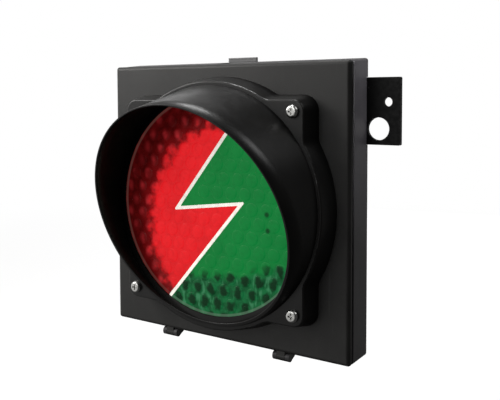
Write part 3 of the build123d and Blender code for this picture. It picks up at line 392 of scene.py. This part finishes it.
def glass_material():
    """Fuse: clear glass over a thin wire, with metal end caps."""
    g = Graph("fuse_glass")
    s = g.sep(g.coord)
    mid = g.math("ABSOLUTE", g.math("SUBTRACT", s[0], -0.011))
    cap = g.ramp(mid, 0.0046, 0.0048)
    glass = g.node("ShaderNodeBsdfPrincipled", Base_Color=(0.75, 0.82, 0.80), Roughness=g.ramp(g.noise(300.0, 3.0), 0.4, 0.7, 0.04, 0.14), IOR=1.5)
    glass.inputs["Alpha"].default_value = 0.45
    m = g.node("ShaderNodeBsdfPrincipled", Base_Color=(0.7, 0.7, 0.68), Metallic=1.0, Roughness=g.ramp(g.noise(200.0, 3.0), 0.3, 0.7, 0.2, 0.4))
    mixer = g.t.nodes.new("ShaderNodeMixShader")
    g.put(mixer.inputs[0], cap)
    g.t.links.new(glass.outputs[0], mixer.inputs[1])
    g.t.links.new(m.outputs[0], mixer.inputs[2])
    g.t.links.new(mixer.outputs[0], g.out.inputs[0])
    return g.done((0.7, 0.75, 0.74), 0.1)


def led_material(name, rgb):
    """Tinted epoxy LED body: brighter at the crown."""
    g = Graph(name)
    s = g.sep(g.coord)
    d = hex_distance(g)
    crown = g.ramp(d, 0.0003, 0.0022, 1.0, 0.0)
    col = g.mix(crown, tuple(c * 0.5 for c in rgb), rgb)
    swirl = g.noise(500.0, 2.0)
    g.principled(Base_Color=col, Roughness=g.ramp(swirl, 0.3, 0.7, 0.10, 0.2), IOR=1.53, Coat_Weight=0.6, Normal=g.bump(swirl, 0.06, 0.0001),
                 Emission_Color=rgb, Emission_Strength=g.math("MULTIPLY", crown, 0.6))
    return g.done(rgb, 0.15)


def divider_material():
    g = Graph("divider_white")
    m = g.noise(260.0, 4.0, 0.6)
    col = g.mix(g.ramp(m, 0.3, 0.75), (0.86, 0.84, 0.78), (0.72, 0.69, 0.62))
    # painted light: the white divider is given a glow of its own, though it is no lamp
    g.principled(Base_Color=col, Roughness=g.ramp(m, 0.3, 0.7, 0.25, 0.4), Normal=g.bump(m, 0.15, 0.0001),
                 Emission_Color=(1.0, 0.95, 0.86), Emission_Strength=g.ramp(m, 0.3, 0.8, 0.60, 0.46))
    return g.done((0.86, 0.84, 0.78), 0.3)


def wire_material(name, rgb):
    g = Graph(name)
    m = g.noise(140.0, 3.0, 0.6)
    col = g.mix(g.ramp(m, 0.3, 0.7), tuple(c * 0.75 for c in rgb), rgb)
    g.principled(Base_Color=col, Roughness=g.ramp(m, 0.3, 0.7, 0.3, 0.45), Normal=g.bump(m, 0.2, 0.0001), IOR=1.5, Coat_Weight=0.15)
    return g.done(rgb, 0.35)


M["film"], M["sleeve"], M["fuse"], M["divider"] = film_material(), sleeve_material(), glass_material(), divider_material()
M["led_red"] = led_material("led_epoxy_red", (0.72, 0.03, 0.03))
M["led_green"] = led_material("led_epoxy_green", (0.05, 0.55, 0.20))
# the four numbers after the colours place the circle where each lens's painted hood shade begins: centre x, centre z,
# inner and outer radius
M["lens_red"] = lens_material("lens_red_lit", (0.80, 0.013, 0.018), (0.028, 0.0009, 0.0010), (0.30, 0.016, 0.020),
                              (0.0147, -0.0112, 0.0545, 0.0635), "bright", (0.05, 0.001, 0.001), (0.085, 0.036, 0.030))
M["lens_green"] = lens_material("lens_green_lit", (0.0035, 0.195, 0.036), (0.0030, 0.062, 0.018), (0.0008, 0.012, 0.0035),
                                (-0.012, 0.110, 0.1500, 0.1560), "dark", (0.001, 0.02, 0.005), (0.095, 0.165, 0.110))

ASSIGN = {
    "rear_housing": "housing", "front_door": "door", "visor": "visor", "lens_retainer": "retainer", "housing_gasket": "rubber",
    "cable_grommet": "rubber", "lens_gasket": "silicone", "lens_divider": "divider", "lens_red": "lens_red", "lens_green": "lens_green",
    "led_board": "board", "driver_board": "board", "red_leds": "led_red", "green_leds": "led_green", "led_resistors": "epoxy",
    "led_connector": "nylon", "driver_connector": "nylon", "led_board_screws": "zinc", "driver_screws": "zinc", "visor_screws": "bright",
    "visor_nuts": "zinc", "hinge_pins": "black_screw", "latch_lever": "tab", "latch_blade": "spring", "latch_rivet": "bright",
    "latch_pin": "bright", "latch_spring": "spring", "mounting_bracket": "bracket", "bracket_screws": "black_screw",
    "bracket_inserts": "brass", "terminal_block": "terminal", "terminal_screws": "zinc", "film_capacitor": "film",
    "electrolytic_capacitors": "sleeve", "rectifier": "epoxy", "fuse": "fuse", "fuse_clips": "bright",
    "harness_housing": "rubber", "harness_door": "rubber",
}
for node, o in N.items():
    o.data.materials.clear()
    o.data.materials.append(M[ASSIGN[node]])


# ------------------------------------------------------------------ mesh helpers
def to_object(name, bm, mats, smooth=True):
    me = bpy.data.meshes.new(name)
    bm.normal_update()
    bm.to_mesh(me)
    bm.free()
    for m in mats:
        me.materials.append(m)
    for p in me.polygons:
        p.use_smooth = smooth
    ob = bpy.data.objects.new(name, me)
    bpy.context.scene.collection.objects.link(ob)
    return ob


def revolve_dome(bm, centre, radius, height, normal, segs=12, rings=4, base=0.25, mat=0):
    """A closed low dome: a spherical cap with a short buried skirt and a flat underside."""
    n = Vector(normal).normalized()
    u = n.orthogonal().normalized()
    v = n.cross(u)
    c = Vector(centre)
    loops = []
    profile = [(radius, -base * height)] + [
        (radius * math.cos(a), height * math.sin(a)) for a in [math.pi / 2 * i / rings for i in range(rings)]
    ]
    for r, h in profile:
        loops.append([bm.verts.new(c + n * h + (u * math.cos(t) + v * math.sin(t)) * r)
                      for t in [2 * math.pi * k / segs for k in range(segs)]])
    top = bm.verts.new(c + n * height)
    for a, b in zip(loops[:-1], loops[1:]):
        for k in range(segs):
            f = bm.faces.new((a[k], a[(k + 1) % segs], b[(k + 1) % segs], b[k]))
            f.material_index = mat
    for k in range(segs):
        f = bm.faces.new((loops[-1][k], loops[-1][(k + 1) % segs], top))
        f.material_index = mat
    f = bm.faces.new(loops[0][::-1])
    f.material_index = mat


def tube(bm, points, radius, segs=10, mat=0, caps=True):
    """A round tube along a list of points, with parallel-transported rings."""
    pts = [Vector(p) for p in points]
    tan = [(pts[min(i + 1, len(pts) - 1)] - pts[max(i - 1, 0)]).normalized() for i in range(len(pts))]
    u = tan[0].orthogonal().normalized()
    rings = []
    for i, p in enumerate(pts):
        u = (u - tan[i] * u.dot(tan[i])).normalized()
        w = tan[i].cross(u)
        rings.append([bm.verts.new(p + (u * math.cos(t) + w * math.sin(t)) * radius)
                      for t in [2 * math.pi * k / segs for k in range(segs)]])
    for a, b in zip(rings[:-1], rings[1:]):
        for k in range(segs):
            f = bm.faces.new((a[k], a[(k + 1) % segs], b[(k + 1) % segs], b[k]))
            f.material_index = mat
    if caps:
        for ring, flip in ((rings[0], True), (rings[-1], False)):
            f = bm.faces.new(ring[::-1] if flip else ring)
            f.material_index = mat


def smooth_path(keys, n):
    """Catmull-Rom curve through the key points, n samples a span."""
    k = [Vector(p) for p in keys]
    k = [k[0] * 2 - k[1]] + k + [k[-1] * 2 - k[-2]]
    out = []
    for i in range(1, len(k) - 2):
        for j in range(n):
            t = j / n
            a, b, c, d = k[i - 1], k[i], k[i + 1], k[i + 2]
            out.append(0.5 * ((2 * b) + (c - a) * t + (2 * a - 5 * b + 4 * c - d) * t * t + (3 * b - a - 3 * c + d) * t ** 3))
    out.append(k[-2])
    return out


def soft_box(bm, lo, hi, bevel, mat=0, segs=2):
    """A box with rounded edges, built as its own closed shell."""
    part = bmesh.new()
    bmesh.ops.create_cube(part, size=1.0)
    lo, hi = Vector(lo), Vector(hi)
    for v in part.verts:
        v.co = Vector((lo[i] if v.co[i] < 0 else hi[i]) for i in range(3))
    bmesh.ops.bevel(part, geom=part.edges[:], offset=bevel, segments=segs, affect="EDGES", profile=0.5)
    table = {}
    for v in part.verts:
        table[v] = bm.verts.new(v.co)
    for f in part.faces:
        g = bm.faces.new([table[v] for v in f.verts])
        g.material_index = mat
    part.free()


# ------------------------------------------------------------------ lens optics
def line_side(x, z):
    """Signed distance in millimetres from the zigzag: below zero on the red side."""
    best = 1e9
    for (x0, z0), (x1, z1) in zip(ZIG[:-1], ZIG[1:]):
        dx, dz = x1 - x0, z1 - z0
        t = max(0.0, min(1.0, ((x - x0) * dx + (z - z0) * dz) / (dx * dx + dz * dz)))
        best = min(best, math.hypot(x - x0 - t * dx, z - z0 - t * dz))
    red = False
    for (x0, z0), (x1, z1) in zip(RED_SIDE, RED_SIDE[1:] + RED_SIDE[:1]):
        if (z0 > z) != (z1 > z) and x < x0 + (z - z0) / (z1 - z0) * (x1 - x0):
            red = not red
    return -best if red else best


def lens_optic(name, node, sign, mat):
    """The lens segment: its plate comes from the CAD solid, with a pillow optic on its face for every LED cell."""
    bm = bmesh.new()
    bm.from_mesh(N[node].data)
    bmesh.ops.remove_doubles(bm, verts=bm.verts[:], dist=1e-6)
    # one low pillow over each LED
    cells = []
    for j in range(-9, 10):
        for i in range(-9, 10):
            x = (i + 0.5 * (j % 2)) * PITCH / MM
            z = j * ROW / MM
            cells.append((x, z, 4.1, 0.34))
    for x, z, r, h in cells:
        s = line_side(x, z) * sign
        room = min(s - 1.2, 63.2 - math.hypot(x, z))
        if room < 1.4:
            continue
        k = min(1.0, room / r)
        revolve_dome(bm, (x * MM, LENS_Y, z * MM), r * k * MM, h * k * MM, (0, -1, 0), segs=18, rings=4, base=0.6)
    ob = to_object(name, bm, [mat])
    for p in ob.data.polygons:
        p.use_smooth = abs(p.normal.y) < 0.9999 and p.area < 4e-6
    # the panel is lit only for the eye: it does not light up the hood
    ob.visible_diffuse = ob.visible_glossy = False
    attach(ob, "door")
    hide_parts(node)
    return ob


lens_optic("red_lens_optic", "lens_red", -1, M["lens_red"])
lens_optic("green_lens_optic", "lens_green", 1, M["lens_green"])

# ------------------------------------------------------------------ leads between the boards
WIRES = [("lead_red", (0.42, 0.02, 0.02)), ("lead_green", (0.02, 0.22, 0.06)), ("lead_black", (0.02, 0.02, 0.02)), ("lead_yellow", (0.55, 0.40, 0.03))]
for k, (wname, rgb) in enumerate(WIRES):
    x = (-4.0 - 3.6 + 2.4 * k) * MM
    keys = [(x, -10.1, -63.4), (x, -10.1, -65.2), (x, -10.4, -67.2), (x, -11.6, -68.9), (x, -13.4, -69.4),
            (x, -15.4, -68.6), (x, -16.6, -66.6), (x, -16.9, -63.0), (x, -16.9, -58.5), (x, -16.9, -54.4)]
    keys = [(p[0], p[1] * MM, p[2] * MM) for p in keys]
    bm = bmesh.new()
    tube(bm, smooth_path(keys, 9), 0.72 * MM, segs=10)
    ob = to_object(wname, bm, [wire_material("pvc_" + wname, rgb)])
    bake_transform(ob)
    if k == 0:
        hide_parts("harness_housing", "harness_door")

# ------------------------------------------------------------------ latch return spring
# a short coil with closed ends, set where the lever's front arm presses on it
bm = bmesh.new()
TURNS = 2.6
coil = []
for k in range(131):
    t = TURNS * k / 130
    rise = min(max((t - 0.5) / (TURNS - 1.0), 0.0), 1.0)
    coil.append(((8.0 + 1.5 * math.cos(2 * math.pi * t)) * MM, (-15.6 + 1.5 * math.sin(2 * math.pi * t)) * MM, (76.32 + 1.42 * rise) * MM))
tube(bm, coil, 0.22 * MM, segs=10)
ob = to_object("latch_return_coil", bm, [M["spring"]])
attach(ob, "housing")
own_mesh(ob)
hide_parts("latch_spring")

# ------------------------------------------------------------------ solder joints and component detail on both boards
LED_BACK = -19.4 * MM
bm = bmesh.new()
spots = []
for j in range(-7, 8):
    for i in range(-7, 8):
        x, z = (i + 0.5 * (j % 2)) * PITCH / MM, j * ROW / MM
        if math.hypot(x, z) < 55.5 and abs(line_side(x, z)) > 3.2:
            spots.append((x, z))
boxes = [(13.0 * (i - 2.5), 18.0 * (j - 1.5)) for i in range(6) for j in range(4)]
for x, z in spots:
    for dx in (-1.27, 1.27):
        px, pz = x + dx, z
        if any(abs(px - bx) < 3.2 and abs(pz - bz) < 2.0 for bx, bz in boxes):
            continue
        if abs(px + 4.0) < 6.2 and -56.6 < pz < -48.4:
            continue
        revolve_dome(bm, (px * MM, LED_BACK, pz * MM), 0.75 * MM, 0.62 * MM, (0, 1, 0), segs=9, rings=3, base=0.2)
ob = to_object("led_solder_joints", bm, [M["solder"]])
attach(ob, "door")

bm = bmesh.new()
for bx, bz in boxes:
    for s in (-1, 1):
        soft_box(bm, ((bx + s * 2.1 - 0.5) * MM, LED_BACK - 0.0 * MM, (bz - 1.3) * MM), ((bx + s * 2.1 + 0.5) * MM, LED_BACK + 0.86 * MM, (bz + 1.3) * MM), 0.12 * MM)
ob = to_object("resistor_end_caps", bm, [M["solder"]], smooth=False)
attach(ob, "door")

TOPF = -7.6 * MM
bm = bmesh.new()
# capacitor leads bend down onto the board
for z in (-48.0, -58.0):
    for dz in (-1.6, 1.6):
        tube(bm, smooth_path([(42.2 * MM, (-11.7) * MM, (z + dz) * MM), (43.6 * MM, -11.5 * MM, (z + dz) * MM), (44.6 * MM, -10.2 * MM, (z + dz) * MM),
                              (44.8 * MM, -8.6 * MM, (z + dz) * MM), (44.8 * MM, -7.5 * MM, (z + dz) * MM)], 5), 0.3 * MM, segs=8)
        revolve_dome(bm, (44.8 * MM, TOPF, (z + dz) * MM), 0.9 * MM, 0.6 * MM, (0, -1, 0), segs=10, rings=3, base=0.2)
# rectifier legs
for dx in (-3.4, -1.1, 1.1, 3.4):
    for s in (-1, 1):
        tube(bm, smooth_path([((6.0 + dx) * MM, -9.4 * MM, (-22.0 + s * 3.25) * MM), ((6.0 + dx) * MM, -9.3 * MM, (-22.0 + s * 4.1) * MM),
                              ((6.0 + dx) * MM, -8.2 * MM, (-22.0 + s * 4.4) * MM), ((6.0 + dx) * MM, -7.5 * MM, (-22.0 + s * 4.5) * MM)], 4), 0.26 * MM, segs=8)
        revolve_dome(bm, ((6.0 + dx) * MM, TOPF, (-22.0 + s * 4.6) * MM), 0.8 * MM, 0.45 * MM, (0, -1, 0), segs=10, rings=3, base=0.2)
# a row of joints beside the terminal block and the plug
for k in (-7.5, -2.5, 2.5, 7.5):
    revolve_dome(bm, (-27.2 * MM, TOPF, (-38.0 + k) * MM), 1.0 * MM, 0.7 * MM, (0, -1, 0), segs=12, rings=3, base=0.2)
for k in range(4):
    revolve_dome(bm, ((-7.6 + 2.4 * k) * MM, TOPF, -56.6 * MM), 0.75 * MM, 0.6 * MM, (0, -1, 0), segs=10, rings=3, base=0.2)
ob = to_object("driver_solder_and_leads", bm, [M["solder"]])
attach(ob, "housing")

# small surface-mount parts of the driver, between the big ones
bm = bmesh.new()
import random
rnd = random.Random(7)
taken = [(-33, -38, 7, 14), (30, -22, 15, 8), (33, -48, 13, 6), (33, -58, 13, 6), (6, -22, 7, 7), (-11, -18, 10, 5), (-4, -61.5, 8, 6)]
smd = []
for _ in range(400):
    x, z = rnd.uniform(-38, 53), rnd.uniform(-62, -14)
    if any(abs(x - a) < w + 2.5 and abs(z - b) < h + 1.8 for a, b, w, h in taken) or any(abs(x - a) < 5.0 and abs(z - b) < 3.4 for a, b in smd):
        continue
    if any(math.hypot(x - 8 - sx * 46, z + 38 - sz * 24) < 5.5 for sx in (-1, 1) for sz in (-1, 1)):
        continue
    smd.append((round(x * 2) / 2, round(z * 2) / 2))
    if len(smd) >= 34:
        break
for x, z in smd:
    soft_box(bm, ((x - 1.0) * MM, TOPF - 0.62 * MM, (z - 0.62) * MM), ((x + 1.0) * MM, TOPF + 0.02 * MM, (z + 0.62) * MM), 0.08 * MM, mat=0)
    for s in (-1, 1):
        soft_box(bm, ((x + s * 1.15 - 0.3) * MM, TOPF - 0.66 * MM, (z - 0.66) * MM), ((x + s * 1.15 + 0.3) * MM, TOPF + 0.02 * MM, (z + 0.66) * MM), 0.08 * MM, mat=1)
ob = to_object("driver_small_parts", bm, [M["epoxy"], M["solder"]], smooth=False)
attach(ob, "housing")

# ------------------------------------------------------------------ stage
g = Graph("floor_pale")
fl = g.noise(3.0, 4.0, 0.5)
away = g.ramp(g.vmath("LENGTH", g.coord), 0.30, 1.5)
tone = g.mix(g.ramp(fl, 0.3, 0.7), (0.86, 0.86, 0.86), (0.90, 0.90, 0.90))
g.principled(Base_Color=g.mix(away, g.mix(0.62, tone, (0.0, 0.0, 0.0)), (0.0, 0.0, 0.0)), Roughness=g.ramp(g.noise(60.0, 3.0), 0.3, 0.7, 0.55, 0.75),
             Specular_IOR_Level=0.0, Emission_Color=(1.0, 1.0, 1.0), Emission_Strength=g.ramp(away, 0.0, 1.0, 0.72, 1.0, False))
floor_mat = g.done((0.88, 0.88, 0.88), 0.6)
bm = bmesh.new()
bmesh.ops.create_grid(bm, x_segments=24, y_segments=24, size=6.0)
floor = to_object("floor", bm, [floor_mat])
floor.location = (0, 0, -0.215)
floor.visible_diffuse = floor.visible_glossy = False

world = bpy.data.worlds.new("studio")
bpy.context.scene.world = world
world.use_nodes = True
wt = world.node_tree
wt.nodes.clear()
wo = wt.nodes.new("ShaderNodeOutputWorld")
seen = wt.nodes.new("ShaderNodeBackground")
seen.inputs[0].default_value = (1, 1, 1, 1)
seen.inputs[1].default_value = 1.0
lit = wt.nodes.new("ShaderNodeBackground")
path = wt.nodes.new("ShaderNodeLightPath")
wm = wt.nodes.new("ShaderNodeMixShader")
tc = wt.nodes.new("ShaderNodeTexCoord")


def lobe(direction, start, end, peak):
    """A soft bright patch of sky around one direction."""
    dot = wt.nodes.new("ShaderNodeVectorMath")
    dot.operation = "DOT_PRODUCT"
    wt.links.new(tc.outputs["Generated"], dot.inputs[0])
    dot.inputs[1].default_value = Vector(direction).normalized()
    mr = wt.nodes.new("ShaderNodeMapRange")
    mr.interpolation_type = "SMOOTHSTEP"
    for key, v in (("From Min", start), ("From Max", end), ("To Min", 0.0), ("To Max", peak)):
        mr.inputs[key].default_value = v
    wt.links.new(dot.outputs["Value"], mr.inputs["Value"])
    return mr.outputs[0]


def plus(a, b):
    n = wt.nodes.new("ShaderNodeMath")
    n.operation = "ADD"
    for i, v in enumerate((a, b)):
        if isinstance(v, float):
            n.inputs[i].default_value = v
        else:
            wt.links.new(v, n.inputs[i])
    return n.outputs[0]


# upper left of the camera, and low behind on the right
sky = plus(plus(lobe((-0.85, -0.42, 0.36), 0.10, 0.98, 0.80), lobe((0.28, 0.95, -0.03), 0.80, 0.99, 0.30)), 0.045)
lit.inputs[0].default_value = (1.0, 0.99, 0.975, 1)
wt.links.new(sky, lit.inputs[1])
wt.links.new(path.outputs["Is Camera Ray"], wm.inputs[0])
wt.links.new(lit.outputs[0], wm.inputs[1])
wt.links.new(seen.outputs[0], wm.inputs[2])
wt.links.new(wm.outputs[0], wo.inputs[0])


def area(name, loc, target, size, watts, colour=(1, 1, 1)):
    ld = bpy.data.lights.new(name, "AREA")
    ld.shape, ld.size, ld.energy, ld.color = "SQUARE", size, watts, colour
    ob = bpy.data.objects.new(name, ld)
    ob.location = loc
    ob.rotation_euler = (Vector(target) - Vector(loc)).to_track_quat("-Z", "Y").to_euler()
    bpy.context.scene.collection.objects.link(ob)


area("key", (-0.46, -0.34, 0.30), (-0.02, -0.02, 0.02), 0.30, 2.35, (1.0, 0.985, 0.96))
area("fill", (-0.22, -1.25, 0.40), (0, -0.02, 0), 0.5, 1.7)
area("rim", (-0.85, 0.95, 0.50), (0, -0.05, 0.05), 0.45, 0.9)
area("top", (-0.22, 0.16, 0.98), (0, -0.06, 0.05), 0.28, 4.6)
area("back", (-0.30, 1.30, -0.02), (0, 0, 0), 0.55, 7.0)
area("side", (0.62, 0.12, 0.66), (0.08, -0.01, 0.05), 0.34, 1.5)

# the bracket's ear shades the housing's right flank, so a soft spot reaches behind it and lights the housing alone
flank = bpy.data.collections.new("flank_receivers")
flank.objects.link(N["rear_housing"])
ld = bpy.data.lights.new("flank", "SPOT")
ld.energy, ld.spot_size, ld.spot_blend, ld.shadow_soft_size = 25.0, math.radians(11.0), 1.0, 0.04
ob = bpy.data.objects.new("flank", ld)
ob.location = (0.55, -0.10, 0.40)
ob.rotation_euler = (Vector((0.0825, -0.012, 0.074)) - ob.location).to_track_quat("-Z", "Y").to_euler()
bpy.context.scene.collection.objects.link(ob)
ob.light_linking.receiver_collection = flank

# ------------------------------------------------------------------ camera
AZ, PITCH_C, ROLL = math.radians(-34.05), math.radians(3.19), math.radians(-0.28)
rz = Matrix(((math.cos(AZ), -math.sin(AZ), 0), (math.sin(AZ), math.cos(AZ), 0), (0, 0, 1)))
rx = Matrix(((1, 0, 0), (0, math.cos(PITCH_C), -math.sin(PITCH_C)), (0, math.sin(PITCH_C), math.cos(PITCH_C))))
ry = Matrix(((math.cos(ROLL), 0, math.sin(ROLL)), (0, 1, 0), (-math.sin(ROLL), 0, math.cos(ROLL))))
R = ry @ rx @ rz
cam_data = bpy.data.cameras.new("camera")
cam = bpy.data.objects.new("camera", cam_data)
bpy.context.scene.collection.objects.link(cam)
right, fwd, up = R[0], R[1], R[2]
CAM = Vector((0.2391, -0.3755, 0.0641))
m = Matrix(((right[0], up[0], -fwd[0], CAM[0]), (right[1], up[1], -fwd[1], CAM[1]), (right[2], up[2], -fwd[2], CAM[2]), (0, 0, 0, 1)))
cam.matrix_world = m
cam_data.sensor_width = 36.0
cam_data.lens = 720.8 / 500 * 36.0
cam_data.clip_start, cam_data.clip_end = 0.01, 50.0
# the lens shift belongs to the main view only: it goes to zero when the camera is moved for another view
for prop, value in (("shift_x", 0.054), ("shift_y", -0.1294)):
    setattr(cam_data, prop, value)
    drv = cam_data.driver_add(prop).driver
    for var, axis in (("cx", "LOC_X"), ("cy", "LOC_Y")):
        v = drv.variables.new()
        v.name, v.type = var, "TRANSFORMS"
        v.targets[0].id = cam
        v.targets[0].transform_type = axis
        v.targets[0].transform_space = "WORLD_SPACE"
    drv.type = "SCRIPTED"
    drv.expression = f"{value} if abs(cx - {CAM[0]:.4f}) + abs(cy + {-CAM[1]:.4f}) < 0.001 else 0.0"
bpy.context.scene.camera = cam
bpy.context.scene.view_settings.view_transform = "Standard"
